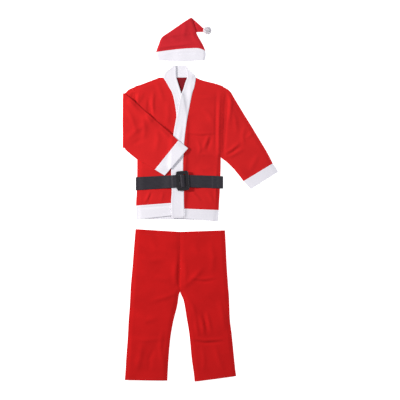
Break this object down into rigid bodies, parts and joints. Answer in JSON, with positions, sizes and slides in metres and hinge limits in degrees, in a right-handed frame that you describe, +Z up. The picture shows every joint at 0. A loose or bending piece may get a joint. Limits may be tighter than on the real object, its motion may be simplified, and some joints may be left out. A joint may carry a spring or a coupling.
{
  "type": "santa suit",
  "caption": "Child's red felt santa suit laid flat: hat, wrap jacket with white trims and its own belt, and trousers.",
  "frame": {"origin": "on the surface the suit lies on, under the middle of its box", "axes": "+Z up from the surface, +Y along the suit from the trousers' hems to the hat, +X to the wearer's left"},
  "size_m": [0.7764, 1.8198, 0.0335],
  "materials": {
    "jacket_felt": "matte",
    "trousers_felt": "matte",
    "hat_felt": "matte",
    "white_fleece": "matte",
    "white_pile": "matte",
    "belt_vinyl": "satin",
    "buckle_plastic": "gloss"
  },
  "bodies": {
    "root": {"jacket_back": "jacket_felt", "jacket_front_right": "jacket_felt", "jacket_front_left": "jacket_felt", "band_right": "white_fleece", "band_left": "white_fleece", "band_neck": "white_fleece", "hem_back": "white_fleece", "hem_right": "white_fleece", "hem_left": "white_fleece", "sleeve_left": "jacket_felt", "sleeve_right": "jacket_felt", "cuff_left": "white_fleece", "cuff_right": "white_fleece", "belt": "belt_vinyl", "buckle": "buckle_plastic", "trousers_back_right": "trousers_felt", "trousers_front_right": "trousers_felt", "trousers_back_left": "trousers_felt", "trousers_front_left": "trousers_felt", "hat_back": "hat_felt", "hat_front": "hat_felt", "hat_brim": "white_fleece", "pompom": "white_pile"}
  },
  "joints": []
}
